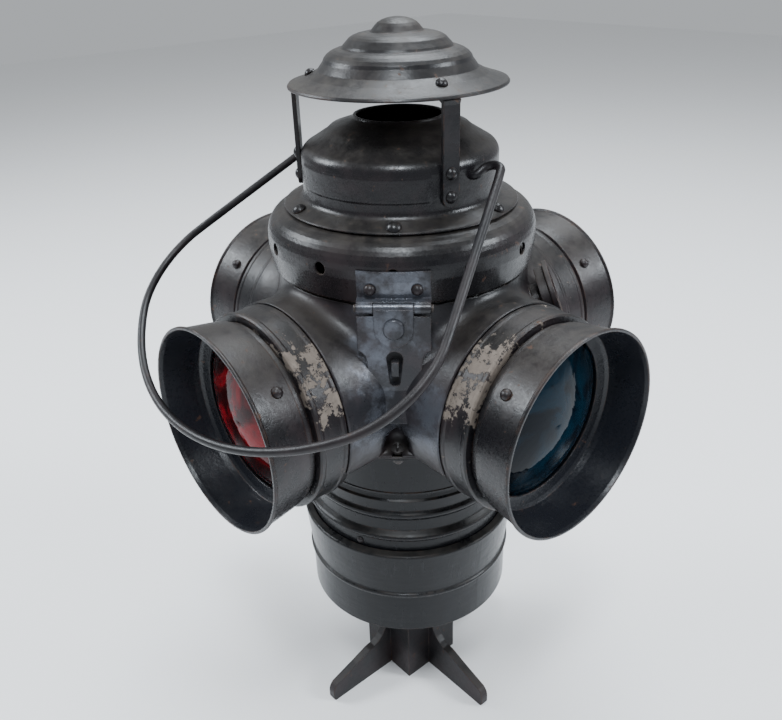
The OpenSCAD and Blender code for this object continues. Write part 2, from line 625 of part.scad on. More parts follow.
centre_l = barrel_l - 2 * knuckle_l - 2 * free;
function wall_r(z) = body_r_low - 1 + (body_r_top - body_r_low + 1) * (z - flare_z) / (body_top_z - flare_z);
module rear_hinge_leaf() color(black) at_az(rear_az) difference() {
    union() {
        intersection() {
            lathe([[wall_r(leaf_low_z) + fit, leaf_low_z], [wall_r(leaf_low_z) + fit + leaf_t, leaf_low_z],
                [wall_r(336) + fit + leaf_t, 336], [pin_at_r + 0.6, pin_z - 1.4],
                [pin_at_r - 1, pin_z - 1], [wall_r(337) + fit, 338.6]]);
            union() {
                translate([-centre_l / 2, -100, 300]) cube([centre_l, 60, 60]);
                translate([-barrel_l / 2, -100, 300]) cube([barrel_l, 60, 34]);
            }
        }
        translate([-centre_l / 2, -pin_at_r, pin_z]) rotate([0, 90, 0]) cylinder(h = centre_l, r = barrel_r);
        for (s = [-1, 1]) translate([s * 14, 0, 0]) wall_rivet(wall_r(leaf_low_z + 9) + leaf_t - 1.6, leaf_low_z + 9, 3.2, 2.6, 1, 0.5);
    }
    translate([-barrel_l, -pin_at_r, pin_z]) rotate([0, 90, 0]) cylinder(h = 2 * barrel_l, r = pin_r + run);
}

module at_hasp() at_az(hasp_az) translate([0, -pin_at_r, pin_z]) rotate([-hasp_lean, 0, 0]) children();
hasp_half = barrel_l / 2;
module hasp_face() difference() {
    polygon(concat(
        [[-hasp_half, -4.2], [-hasp_half, -25]],
        arc([-hasp_half, -33], 5, 8, 90, 0, 5),
        [[-14, -hasp_crease], [14, -hasp_crease]],
        arc([hasp_half, -33], 5, 8, 180, 90, 5),
        [[hasp_half, -25], [hasp_half, -4.2]]));
    translate([0, -key_top]) circle(r = 4.7);
    translate([0, -key_low]) circle(r = 3);
    polygon([[-4.6, -key_top - 0.9], [-3, -key_low - 0.2], [3, -key_low - 0.2], [4.6, -key_top - 0.9]]);
}
// Stands a flat outline up in the plane of the hasp
module stand(t) rotate([90, 0, 0]) linear_extrude(t) children();

module hasp_plate() color(soot) at_hasp() difference() {
    union() {
        translate([0, hasp_y + hasp_t, 0]) stand(hasp_t) hasp_face();
        translate([0, hasp_y + hasp_t, -hasp_crease + 0.3]) rotate([-hasp_flare, 0, 0]) stand(hasp_t) {
            polygon([[-14, 0], [14, 0], [12.6, -13], [-12.6, -13]]);
            translate([0, -13]) intersection() {
                circle(r = 12.6);
                translate([-20, -(hasp_l - hasp_crease - 13)]) square([40, hasp_l - hasp_crease - 12]);
            }
        }
    }
    translate([0, 10, -11.2]) rotate([90, 0, 0]) cylinder(h = 20, r = 2.4 + fit);
}
module hasp_tab() color(soot) at_hasp() difference() {
    union() {
        rotate([0, 90, 0]) translate([0, 0, -centre_l / 2]) cylinder(h = centre_l, r = barrel_r);
        translate([0, hasp_y - fit, 0]) stand(leaf_t) {
            translate([-centre_l / 2, -11.2]) square([centre_l, 11.2]);
            translate([0, -11.2]) circle(r = centre_l / 2);
        }
    }
    rotate([0, 90, 0]) translate([0, 0, -barrel_l]) cylinder(h = 2 * barrel_l, r = pin_r + run);
    translate([0, 10, -11.2]) rotate([90, 0, 0]) cylinder(h = 20, r = 2.4 + fit);
}
module hasp_rivet() color(soot) at_hasp() translate([0, hasp_y - fit - leaf_t, -11.2]) rotate([90, 0, 0]) {
    cylinder(h = 1.2, r = 5.9);
    translate([0, 0, 1.2]) cylinder(h = 0.5, r1 = 5.9, r2 = 5.2);
    translate([0, 0, -hasp_t - leaf_t - fit - 0.4]) cylinder(h = 4, r = 2.4);
}

catch_drop = (key_top + key_low) / 2;
catch_z = pin_z - catch_drop;
module latch_catch() color(soot) at_az(hasp_az) {
    intersection() {
        lathe([[wall_r(catch_z - 11) + fit, catch_z - 11], [wall_r(catch_z - 11) + fit + 1.4, catch_z - 11],
            [wall_r(catch_z + 9) + fit + 1.4, catch_z + 9], [wall_r(catch_z + 9) + fit, catch_z + 9]]);
        translate([-6, -100, catch_z - 20]) cube([12, 60, 40]);
    }
    tip_y = pin_at_r - hasp_y - hasp_t + (catch_drop - 4) * tan(hasp_lean) - free;
    translate([-2.2, -tip_y, catch_z - 5]) cube([4.4, tip_y - wall_r(catch_z) - 0.8, 9]);
}

// ---- Bail ----

// The bail lies in a plane: x across it, y towards its bow, from the pivot line.
bow_at = [0, bail_reach - bail_bow];
loop_at = [bail_half, -bail_elbow];
corner_turn = acos((loop_at * [cos(bail_spread), -sin(bail_spread)] + bow_at.y * sin(bail_spread)
    + bail_loop - bail_corner) / (bail_bow - bail_corner)) - bail_spread;
corner_at = bow_at + (bail_bow - bail_corner) * [cos(corner_turn), sin(corner_turn)];
elbow_at = [bail_half - bail_loop - bail_elbow, -bail_elbow];
bail_head_at = chimney_r - 4;
bail_head_t = 2;
bail_head_r = wire_r + 1.4;

function bend(centre, r, from, to, n) =
    [for (i = [0:n]) let (a = from + (to - from) * i / n) centre + r * [cos(a), sin(a)]];
function without_first(p) = [for (i = [1:len(p) - 1]) p[i]];
half_wire = concat(
    bend(bow_at, bail_bow, 90, corner_turn, 6),
    without_first(bend(corner_at, bail_corner, corner_turn, -bail_spread, 8)),
    bend(loop_at, bail_loop, -bail_spread, -180, 7),
    without_first(bend(elbow_at, bail_elbow, 0, 90, 4)));
wire_end = [[bail_head_at, 0], [bail_head_at - 0.01, 0], [bail_head_at - bail_head_t, 0]];
wire_end_r = [wire_r, bail_head_r, bail_head_r];
half_line = concat(half_wire, wire_end);
half_r = concat([for (p = half_wire) wire_r], wire_end_r);
function flip(p) = [for (q = rev(p)) [-q.x, q.y]];
bail_line = concat(flip(without_first(half_line)), half_line);
bail_r = concat(rev(without_first(half_r)), half_r);
wire_sides = 12;
function wire_side(i) =
    let (d = bail_line[min(i + 1, len(bail_line) - 1)] - bail_line[max(i - 1, 0)]) [d.y, -d.x] / norm(d);

module bail() color(black) translate([0, 0, bail_z]) rotate([-bail_tilt, 0, 0]) rotate([-90, 0, 0])
    polyhedron(
        [for (i = [0:len(bail_line) - 1], k = [0:wire_sides - 1])
            let (a = 360 * k / wire_sides, s = wire_side(i) * bail_r[i] * cos(a))
            [bail_line[i].x + s.x, bail_line[i].y + s.y, bail_r[i] * sin(a)]],
        concat(
            [[for (k = [0:wire_sides - 1]) k]],
            [for (i = [0:len(bail_line) - 2], k = [0:wire_sides - 1])
                let (m = (k + 1) % wire_sides, low = i * wire_sides, high = low + wire_sides)
                [low + k, high + k, high + m, low + m]],
            [[for (k = [wire_sides - 1:-1:0]) (len(bail_line) - 1) * wire_sides + k]]));

// ---- Oil font and burner ----

filler_at = 34;
filler_h = 8;
module oil_font() color(steel) difference() {
    union() {
        translate([0, 0, font_z]) cylinder(h = font_top_z - font_z, r = font_r);
        translate([0, 0, font_top_z]) cylinder(h = 7, r1 = font_r, r2 = 22);
        translate([0, 0, font_top_z + 6]) cylinder(h = burner_z - font_top_z - 6, r = burner_r + 3);
        translate([filler_at, 0, font_top_z]) cylinder(h = filler_h, r = 9);
    }
    translate([0, 0, font_z + sheet_t]) cylinder(h = font_top_z - font_z - sheet_t, r = font_r - sheet_t);
}
module font_cap() color(brass) translate([filler_at, 0, font_top_z + filler_h]) {
    cylinder(h = 4, r = 10);
    translate([0, 0, 4]) cylinder(h = 2, r = 4);
}
module burner() color(brass) difference() {
    union() {
        translate([0, 0, burner_z + 0.02]) cylinder(h = 12, r = burner_r + 2);
        translate([0, 0, burner_z + 12]) cylinder(h = 16, r1 = burner_r + 2, r2 = 11);
        translate([0, 0, burner_z + 28]) cylinder(h = flame_z - burner_z - 31, r = 10);
    }
    translate([-wick_w / 2 - free, -wick_t / 2 - free, burner_z - 1])
        cube([wick_w + 2 * free, wick_t + 2 * free, 80]);
    translate([0, -wick_t / 2 - 4, knob_z]) rotate([0, 90, 0]) cylinder(h = 40, r = 1.5 + run);
}
module wick_knob() color(brass) translate([0, -wick_t / 2 - 4, knob_z]) rotate([0, 90, 0]) {
    cylinder(h = 34, r = 1.5);
    translate([0, 0, 34]) difference() {
        cylinder(h = 3, r = 7);
        for (k = [0:11]) rotate([0, 0, 30 * k]) translate([7.4, 0, -1]) cylinder(h = 5, r = 1, $fn = 16);
    }
}
module wick() color([0.85, 0.8, 0.7]) translate([-wick_w / 2, -wick_t / 2, burner_z + 4])
    cube([wick_w, wick_t, flame_z - burner_z - 4]);

mast_socket();
socket_bolts();
base_cup();
cup_rivets();
lower_drum();
floor_pan();
font_seat();
body_shell();
ledge_screws();
ledge_nuts();
for (i = [0:3]) {
    lens_tube(i);
    lens_band(i);
    lens_hood(i);
    lens(i);
}
lens_gaskets();
hood_screws();
hood_nuts();
hood_rivets();
sight_tube();
sight_glass();
latch_catch();
rear_hinge_leaf();
rear_hinge_pin();
draft_hood();
chimney();
flange_screws();
inner_flue();
for (k = [0:2]) cap_strap(k);
strap_rivets();
rain_cap();
cap_rivets();
lid_hinge_leaf();
hasp_leaf();
leaf_rivets();
hasp_pin();
hasp_plate();
hasp_tab();
hasp_rivet();
bail();
oil_font();
font_cap();
burner();
wick_knob();
wick();
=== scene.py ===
import json
import math

import bpy
import bmesh
import numpy as np
from mathutils import Matrix, Vector


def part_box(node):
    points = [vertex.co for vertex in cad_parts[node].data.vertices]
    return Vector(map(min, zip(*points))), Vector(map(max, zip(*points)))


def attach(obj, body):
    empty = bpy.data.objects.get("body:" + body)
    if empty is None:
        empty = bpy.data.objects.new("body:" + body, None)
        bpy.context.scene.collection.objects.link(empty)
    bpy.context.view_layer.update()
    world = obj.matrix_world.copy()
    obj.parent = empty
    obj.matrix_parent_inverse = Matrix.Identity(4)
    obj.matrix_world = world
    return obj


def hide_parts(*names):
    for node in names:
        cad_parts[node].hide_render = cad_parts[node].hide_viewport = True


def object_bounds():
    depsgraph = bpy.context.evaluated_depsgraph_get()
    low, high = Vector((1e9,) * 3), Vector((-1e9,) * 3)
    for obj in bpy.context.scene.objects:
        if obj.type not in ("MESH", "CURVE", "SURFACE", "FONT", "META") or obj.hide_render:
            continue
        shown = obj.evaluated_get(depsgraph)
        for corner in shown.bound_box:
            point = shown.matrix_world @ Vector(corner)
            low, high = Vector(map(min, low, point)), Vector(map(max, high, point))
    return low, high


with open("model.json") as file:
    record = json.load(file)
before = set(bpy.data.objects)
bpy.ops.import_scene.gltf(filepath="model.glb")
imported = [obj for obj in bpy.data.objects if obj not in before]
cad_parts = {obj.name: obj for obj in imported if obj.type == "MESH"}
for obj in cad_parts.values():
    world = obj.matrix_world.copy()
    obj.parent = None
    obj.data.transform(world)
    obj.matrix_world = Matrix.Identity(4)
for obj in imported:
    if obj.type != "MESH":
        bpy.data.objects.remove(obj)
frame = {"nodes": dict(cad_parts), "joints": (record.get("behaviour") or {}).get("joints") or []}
cad_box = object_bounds()

# Mast socket: a grey-iron casting with a square bore that drops over the tip of the switch
# mast, and four webs under it. It was dipped in black, and stands bolted to the base cup.
mm = 0.001


class Signal:
    """A shader socket that takes part in sums: every operator adds one Math node."""

    def __init__(self, tree, socket):
        self.tree = tree
        self.socket = socket

    def node(self, kind, settings, sockets, output=0):
        """Adds a node: its settings first, then the value or link of each socket named."""
        new = self.tree.nodes.new("ShaderNode" + kind)
        for setting, choice in settings.items():
            setattr(new, setting, choice)
        for key, given in sockets.items():
            if isinstance(given, Signal):
                self.tree.links.new(given.socket, new.inputs[key])
            else:
                new.inputs[key].default_value = given
        return Signal(self.tree, new.outputs[output])

    def math(self, operation, *others):
        return self.node("Math", {"operation": operation}, dict(enumerate((self,) + others)))

    def __add__(self, other):
        return self.math("ADD", other)

    def __sub__(self, other):
        return self.math("SUBTRACT", other)

    def __rsub__(self, other):
        return self.node("Math", {"operation": "SUBTRACT"}, {0: other, 1: self})

    def __mul__(self, other):
        return self.math("MULTIPLY", other)

    __radd__ = __add__
    __rmul__ = __mul__

    def step(self, low, high):
        """0 below low, 1 above high, and an even curve between them."""
        return self.node("MapRange", {"interpolation_type": "SMOOTHSTEP"},
                         {0: self, 1: low, 2: high, 3: 0.0, 4: 1.0})


def new_finish(name):
    """A new material, its shader, and the place and facing of the surface in the lamp's frame."""
    material = bpy.data.materials.new(name)
    material.use_nodes = True
    tree = material.node_tree
    place = tree.nodes.new("ShaderNodeTexCoord")
    shader = tree.nodes["Principled BSDF"]
    return material, shader, Signal(tree, place.outputs["Object"]), Signal(tree, place.outputs["Normal"])


def set_shader(shader, **sockets):
    """Fills the shader's sockets: Base_Color stands for Base Color."""
    for key, given in sockets.items():
        socket = shader.inputs[key.replace("_", " ")]
        if isinstance(given, Signal):
            given.tree.links.new(given.socket, socket)
        else:
            socket.default_value = given


def cloud(place, scale, detail=4, rough=0.55, stretch=None, warp=0):
    """Uneven cloudiness from 0 to 1, with its size set by scale in turns per metre."""
    if stretch:
        place = place.node("VectorMath", {"operation": "MULTIPLY"}, {0: place, 1: stretch})
    return place.node("TexNoise", {}, {"Vector": place, "Scale": scale, "Detail": detail,
                                       "Roughness": rough, "Distortion": warp})


def part_of(vector, axis):
    return vector.node("SeparateXYZ", {}, {0: vector}, axis)


def tinted(mask, under, over):
    """The colour under, covered by the colour over where the mask is 1."""
    return mask.node("Mix", {"data_type": "RGBA"}, {0: mask, 6: under, 7: over}, 2)


def edges(place, reach):
    """1 along the sharp edges and corners of a piece, within reach of them."""
    rounded = place.node("Bevel", {"samples": 4}, {"Radius": reach})
    plain = place.node("NewGeometry", {}, {}, "Normal")
    alike = rounded.node("VectorMath", {"operation": "DOT_PRODUCT"}, {0: rounded, 1: plain}, 1)
    return 1 - alike, rounded


def uneven(height, depth, normal=None):
    """A bump of that depth in metres."""
    sockets = {"Height": height, "Distance": depth, "Strength": 1.0}
    if normal:
        sockets["Normal"] = normal
    return height.node("Bump", {}, sockets)


JAPAN = (0.0065, 0.0062, 0.0075, 1)
THIN_PAINT = (0.026, 0.017, 0.0185, 1)
DUST = (0.036, 0.032, 0.027, 1)
RUST = (0.075, 0.036, 0.021, 1)


def old_enamel(name, rough=0.3, dust=0.6, thin=0.5, rust=0.6, dents=0.35, chips=None, shade_and_shelter=None,
               rubs_and_highlight=None):
    """Stoved black enamel after decades outdoors: thin and brown in patches, dusty where it
    lies flat, rubbed to rust along its edges. chips marks bare primer; the next mask marks the
    side of a piece that is kept clean of dust and given a painted blue-black shade; the last
    marks what hands have worn smoother, given a painted bluish highlight."""
    material, shader, place, facing = new_finish(name)
    patches = cloud(place, 21, 7, 0.66)
    spots = cloud(place, 140, 6, 0.66)
    grit = cloud(place, 480, 4, 0.65)
    ripple = cloud(place, 46, 2, 0.5)
    worn = patches.step(0.42, 0.68) * thin
    lying = part_of(facing, 2).step(0.25, 1.0)
    dusty = lying * (0.35 + 0.65 * (patches * 0.6 + spots * 0.4).step(0.42, 0.6)) * dust
    sharp, rounded = edges(place, 1.0 * mm)
    rubbed = sharp.step(0.02, 0.14) * (spots + patches * 0.5).step(0.68, 0.86) * rust
    pits = spots.step(0.64, 0.7) * (0.75 * rust)
    colour = tinted(worn, JAPAN, THIN_PAINT)
    if shade_and_shelter:
        # On this side the dust is cut back, and the colour is a painted blue-black shade.
        sheltered_painted_shade = shade_and_shelter(place, facing)
        dusty = dusty * (1 - sheltered_painted_shade * 0.85)
        colour = tinted(sheltered_painted_shade, colour, (0.0085, 0.0095, 0.013, 1))
    colour = tinted(dusty, colour, DUST)
    colour = tinted(rubbed, colour, RUST)
    colour = tinted(pits, colour, RUST)
    roughness = rough + worn * 0.10 + dusty * 0.22 + rubbed * 0.3 + pits * 0.25 + (grit - 0.5) * 0.25
    height = ripple * dents + spots * 0.12 + grit * 0.11 - rubbed * 0.06 - pits * 0.05
    if chips:
        bare = chips(place, spots, patches)
        primer = tinted(cloud(place, 260, 4), (0.21, 0.175, 0.145, 1), (0.085, 0.068, 0.056, 1))
        colour = tinted(bare, colour, primer)
        roughness = roughness + bare * 0.35
        height = height - bare * 0.16
    if rubs_and_highlight:
        mottled = (patches * 0.35 + ripple * 0.35 + spots * 0.3).step(0.47, 0.6)
        polished_highlight = rubs_and_highlight(place) * (0.1 + 0.9 * mottled)
        # A painted bluish highlight, half metallic, over the patches that hands have worn smoother.
        colour = tinted(polished_highlight, colour, (0.095, 0.102, 0.12, 1))
        roughness = roughness - polished_highlight * 0.06
        set_shader(shader, Metallic=polished_highlight * 0.6)
    set_shader(shader, Base_Color=colour, Roughness=roughness,
               Normal=uneven(height, 1 * mm, rounded), Specular_IOR_Level=0.32)
    return material


def coat(material, *names):
    """Gives the pieces that are carried over as they are their finish."""
    for name in names:
        for slot in frame["nodes"][name].material_slots:
            slot.material = material


cast_black = old_enamel("cast_black_paint", rough=0.42, dust=0.5, thin=0.7, rust=0.8, dents=0.5)
coat(cast_black, "mast_socket")


def scuffed_steel(name, tone, rough, metal, scuff=0.5):
    """Steel hardware: dark from age, and rubbed bright by hands and tools where it stands proud."""
    material, shader, place = new_finish(name)[:3]
    patches = cloud(place, 60, 6, 0.6)
    grit = cloud(place, 1100, 3)
    sharp, rounded = edges(place, 0.8 * mm)
    bright = (sharp.step(0.02, 0.14) * patches.step(0.35, 0.6)) * scuff
    red, green, blue = tone
    browned = (0.75 * red + 0.02, 0.6 * green + 0.012, 0.5 * blue + 0.008, 1)
    colour = tinted(patches.step(0.45, 0.7), (*tone, 1), browned)
    colour = tinted(bright, colour, (0.23, 0.22, 0.22, 1))
    set_shader(shader, Base_Color=colour, Metallic=metal, Roughness=rough + patches * 0.2 - bright * 0.15,
               Normal=uneven(patches * 0.2 + grit * 0.05, 0.6 * mm, rounded))
    return material


bolt_steel = scuffed_steel("bolt_steel", (0.05, 0.046, 0.045), 0.4, 0.7)
coat(bolt_steel, "socket_bolts")

# Base cup: drawn sheet with a rolled rim and one bead, riveted around the foot of the drum.
# Its enamel is the glossiest on the lamp, with fine streaks where it was brushed on, and painted streaky
# highlights.


def streaky_enamel(name):
    """Thick brushed gloss enamel that has crazed into fine upright streaks, some rougher and hazy, whose
    lighter colour is a painted streaky highlight.
    """
    material, shader, place, facing = new_finish(name)
    patches = cloud(place, 30, 6, 0.6)
    spots = cloud(place, 150, 5, 0.62)
    upright = cloud(place, 260, 5, 0.65, (1, 1, 0.22), 0.4)
    around = cloud(place, 90, 4, 0.6, (0.3, 0.3, 3))
    grit = cloud(place, 1000, 2)
    sharp, rounded = edges(place, 1.0 * mm)
    rubbed = sharp.step(0.015, 0.12) * (spots + patches * 0.5).step(0.68, 0.9) * 0.7
    lying = part_of(facing, 2).step(0.25, 0.9)
    dusty = lying * (patches + spots * 0.5).step(0.55, 0.9) * 0.6
    # Hazy streaks: rougher enamel, with a lighter blue-grey colour that is a painted highlight.
    hazy_highlight = upright.step(0.54, 0.72) * patches.step(0.42, 0.6) * 0.3
    colour = tinted(hazy_highlight, (0.0045, 0.0048, 0.006, 1), (0.024, 0.025, 0.029, 1))
    colour = tinted(dusty, colour, DUST)
    colour = tinted(rubbed, colour, RUST)
    roughness = 0.15 + upright * 0.18 + hazy_highlight * 0.3 + dusty * 0.4 + rubbed * 0.35
    height = upright * 0.12 + around * 0.14 + cloud(place, 40, 2, 0.5) * 0.45 + grit * 0.035
    set_shader(shader, Base_Color=colour, Roughness=roughness, Specular_IOR_Level=0.24,
               Normal=uneven(height, 1 * mm, rounded))
    return material


gloss_black = streaky_enamel("streaky_gloss_enamel")
coat(gloss_black, "base_cup")
rivet_black = old_enamel("rivet_head_paint", rough=0.28, dust=0.4, thin=0.8, rust=0.9, dents=0.1)
coat(rivet_black, "cup_rivets")

# Lower drum: rolled and beaded sheet that holds the oil font. The floor pan is soldered
# inside it, and three spring tabs of the seat ring keep the font in the middle.
coat(gloss_black, "lower_drum")
tin = scuffed_steel("tinned_sheet", (0.32, 0.31, 0.29), 0.38, 0.9, 0.3)
coat(tin, "floor_pan", "font_seat")

# Body shell: one drawn shell of sheet steel. Its wall swells out between the corners into the
# four lens tubes, and a screw in a round dish holds it to the drum at each corner's ledge.
EIGHTH = math.pi / 4
sheet_t = 1.6 * mm
shell_low, shell_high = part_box("body_shell")
tube_low, tube_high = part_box("lens_tube_front")
band_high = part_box("lens_band_front")[1]
lens_z = (tube_low.z + tube_high.z) / 2
tube_end_r = (tube_high.z - tube_low.z) / 2
band_back = -band_high.y
ledge_z = shell_low.z + sheet_t
collar_top = shell_high.z
body_top_z = collar_top - 7 * mm
body_r_low, body_r_top = 83 * mm, 77 * mm
neck_r = 69.5 * mm
flare_z = ledge_z + 10 * mm
dish_at, dish_lift, dish_r = 88 * mm, 9 * mm, 9.4 * mm
ledge_r, ledge_corner_r = 92 * mm, 48 * mm
collar_r, collar_start, collar_full = (band_high.z - lens_z) - 0.7 * mm, 79 * mm, 93 * mm
blend_at_hasp, blend_on_top = 1.5 * mm, 9 * mm


def soft_union(a, b, soft):
    """The smaller of two distances, with a fillet where they are within soft of each other."""
    near = np.maximum(soft - np.abs(a - b), 0) / soft
    return np.minimum(a, b) - near * near * soft / 4


def ledge_reach(turn):
    """Distance from the lamp axis to the edge of the ledge; the turn is from a corner."""
    centre = ledge_r - ledge_corner_r
    at_corner = centre * np.cos(turn) + np.sqrt(ledge_corner_r ** 2 - (centre * np.sin(turn)) ** 2)
    flat = (centre / math.sqrt(2) + ledge_corner_r) / np.maximum(np.cos(EIGHTH - np.abs(turn)), 0.1)
    return np.maximum(at_corner, np.minimum(flat, ledge_r))


def wall_radius(z):
    """Radius of the tapered wall between the corners' flares and the top."""
    return body_r_low + (body_r_top - body_r_low) * (z - flare_z) / (body_top_z - flare_z)


def shell_gap(r, turn, z):
    """Signed distance of a point from the shell's outer face: below 0 is inside."""
    flare = (ledge_reach(turn) - wall_radius(z)) * np.exp(-np.maximum(z - ledge_z, 0) / (5 * mm))
    gap = r - wall_radius(z) - flare
    above = np.clip((z - lens_z - 4 * mm) / (36 * mm), 0, 1)
    for side in (-1, 1):
        lean = turn + side * EIGHTH
        along, across = r * np.cos(lean), r * np.sin(lean)
        swell = np.clip((along - collar_start) / (collar_full - collar_start), 0, 1)
        swell = swell * swell * (3 - 2 * swell)
        tube = np.hypot(across, z - lens_z) - tube_end_r - 0.2 * mm - (collar_r - tube_end_r) * swell
        gap = soft_union(gap, tube, blend_at_hasp + blend_on_top * above)
    up = z - ledge_z - dish_lift
    dish = np.sqrt((r * np.cos(turn) - dish_at) ** 2 + (r * np.sin(turn)) ** 2 + up ** 2) - dish_r
    return -soft_union(-gap, dish, 1 * mm)


def outer_face(turn, z):
    """The shell's radius at each turn and height, found by halving."""
    low = np.full_like(z, 55 * mm)
    high = np.full_like(z, 125 * mm)
    for _ in range(26):
        middle = (low + high) / 2
        inside = shell_gap(middle, turn, z) < 0
        low = np.where(inside, middle, low)
        high = np.where(inside, high, middle)
    return low


def skin(name, *sheets):
    """A mesh over grids of points. Each is a grid, the points it keeps and whether it closes."""
    build = bmesh.new()
    for grid, keep, closed in sheets:
        rows, columns = grid.shape[:2]
        verts = [[build.verts.new(tuple(point)) for point in row] for row in grid]
        for i in range(rows - 1):
            for j in range(columns if closed else columns - 1):
                k = (j + 1) % columns
                if keep is None or keep[i, j] and keep[i + 1, j] and keep[i, k] and keep[i + 1, k]:
                    build.faces.new((verts[i][j], verts[i][k], verts[i + 1][k], verts[i + 1][j]))
    bmesh.ops.delete(build, geom=[v for v in build.verts if not v.link_faces], context="VERTS")
    bmesh.ops.remove_doubles(build, verts=build.verts, dist=0.02 * mm)
    mesh = bpy.data.meshes.new(name)
    build.to_mesh(mesh)
    build.free()
    for polygon in mesh.polygons:
        polygon.use_smooth = True
    piece = bpy.data.objects.new(name, mesh)
    bpy.context.scene.collection.objects.link(piece)
    return piece


def bake_modifier(piece, kind, **settings):
    """Adds a modifier and applies it to the mesh."""
    modifier = piece.modifiers.new(kind.lower(), kind)
    for setting, choice in settings.items():
        setattr(modifier, setting, choice)
    with bpy.context.temp_override(object=piece, active_object=piece):
        bpy.ops.object.modifier_apply(modifier=modifier.name)


def side_gap(place):
    """The shell's gap at points of one side, given along and across its lens and upwards."""
    along, across, z = place[..., 0], place[..., 1], place[..., 2]
    return shell_gap(np.hypot(along, across), np.abs(np.arctan2(across, along)) - EIGHTH, z)


def onto_shell(place, free):
    """Moves points to the shell's outer face, only in the directions that free allows."""
    tiny = 0.02 * mm
    for _ in range(30):
        gap = side_gap(place)
        slope = np.stack([(side_gap(place + tiny * axis) - side_gap(place - tiny * axis)) / (2 * tiny)
                          for axis in np.eye(3)], axis=-1) * free
        steep = np.maximum((slope ** 2).sum(axis=-1), 0.05)
        place = place - 0.8 * (gap / steep)[..., None] * slope
    return place


def side_fan(corner_steps=44, top_steps=64, rows=40):
    """One side of the shell: rows from the collar out to the two corners and the top."""
    up_corner = ledge_z + (top_z - ledge_z) * np.linspace(0, 1, corner_steps) ** 1.15
    over_top = np.linspace(EIGHTH, -EIGHTH, top_steps + 2)[1:-1]
    at_corner = np.full(corner_steps, EIGHTH)
    rim_turn = np.concatenate([at_corner, over_top, -at_corner])
    rim_z = np.concatenate([up_corner, np.full(top_steps, top_z), up_corner[::-1]])
    rim_r = outer_face(np.abs(rim_turn) - EIGHTH, rim_z)
    rim = np.stack([rim_r * np.cos(rim_turn), rim_r * np.sin(rim_turn), rim_z], axis=-1)
    low_turn = math.asin((ledge_z - lens_z) / collar_r)
    aim = np.unwrap(np.arctan2((rim_z - lens_z), rim[:, 1]))
    aim = low_turn + (aim - aim[0]) / (aim[-1] - aim[0]) * (math.pi - 2 * low_turn)
    collar = np.stack([np.full_like(aim, band_back + 0.3 * mm), collar_r * np.cos(aim),
                       lens_z + collar_r * np.sin(aim)], axis=-1)
    share = np.linspace(0, 1, rows)[:, None, None]
    fan = collar * (1 - share) + rim * share
    free = np.ones_like(fan)
    free[:, (0, -1), 2] = 0
    free[-1, :, 2] = 0
    free[0] = (0, 1, 1)
    free[0, (0, -1)] = (0, 1, 0)
    return onto_shell(fan, free)


def turned_about(place, turn):
    """Points turned about the lamp's axis."""
    x, y, z = place[..., 0], place[..., 1], place[..., 2]
    return np.stack([x * math.cos(turn) - y * math.sin(turn), x * math.sin(turn) + y * math.cos(turn), z],
                    axis=-1)


def hoop(rows):
    """A grid of rings, each a radius and a height, without the part inside the lens tubes."""
    grid = [np.stack([r * np.cos(around), r * np.sin(around), np.full_like(around, z)], axis=-1)
            for r, z in rows]
    from_lens = [np.hypot(r * np.sin(EIGHTH - np.abs(turns)), z - lens_z) for r, z in rows]
    return np.stack(grid), np.stack(from_lens) > tube_end_r - 0.6 * mm, True


top_z = body_top_z - 2.2 * mm
fan = side_fan()
sheets = [(turned_about(fan, side * math.pi / 2), None, False) for side in range(4)]
per_side = 90
turns = np.tile(np.linspace(-EIGHTH, EIGHTH, per_side, endpoint=False), 4)
around = turns + np.repeat(np.arange(4) * math.pi / 2 + EIGHTH, per_side)
even = np.ones_like(turns)
ledge_edge = ledge_reach(turns)
top_edge = outer_face(turns, top_z * even)
sheets.append(hoop([(76 * mm * even, shell_low.z), (ledge_edge - 0.6 * mm, shell_low.z),
                    (ledge_edge, shell_low.z + 0.6 * mm), (ledge_edge, ledge_z)]))
sheets.append(hoop([(top_edge, top_z), (top_edge - 0.4 * mm, body_top_z - 1.0 * mm),
                    (top_edge - 1.2 * mm, body_top_z - 0.3 * mm), (top_edge - 2.4 * mm, body_top_z),
                    ((neck_r + 1.2 * mm) * even, body_top_z),
                    ((neck_r + 0.2 * mm) * even, body_top_z + 0.5 * mm),
                    (neck_r * even, body_top_z + 1.5 * mm), (neck_r * even, collar_top)]))
body_shell = skin("body_shell_skin", *sheets)
bake_modifier(body_shell, "SOLIDIFY", thickness=sheet_t, offset=-1)


def beside_hasp(place):
    """1 in the middle of the corner that carries the hasp."""
    aside = (part_of(place, 0) + part_of(place, 1)).math("ABSOLUTE")
    toward = part_of(place, 0) - part_of(place, 1)
    high = part_of(place, 2).step(ledge_z, lens_z)
    return toward.step(100 * mm, 114 * mm) * (1 - aside.step(26 * mm, 52 * mm)) * high


# Beside the hasp the body enamel is worn smoother and carries a painted bluish highlight.
body_enamel = old_enamel("body_enamel", rough=0.3, dust=0.7, thin=0.75, rust=0.8, dents=0.55,
                         rubs_and_highlight=beside_hasp)
body_shell.data.materials.append(body_enamel)
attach(body_shell, "lamp_body")
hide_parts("body_shell")
coat(bolt_steel, "ledge_screws", "ledge_nuts")

# Lens tubes and bands: each tube is a rolled ring in the side of the body, with a beaded band
# shrunk over it. The two bands beside the hasp have lost paint down to the primer.
hasp_x, hasp_y = math.sqrt(0.5), -math.sqrt(0.5)


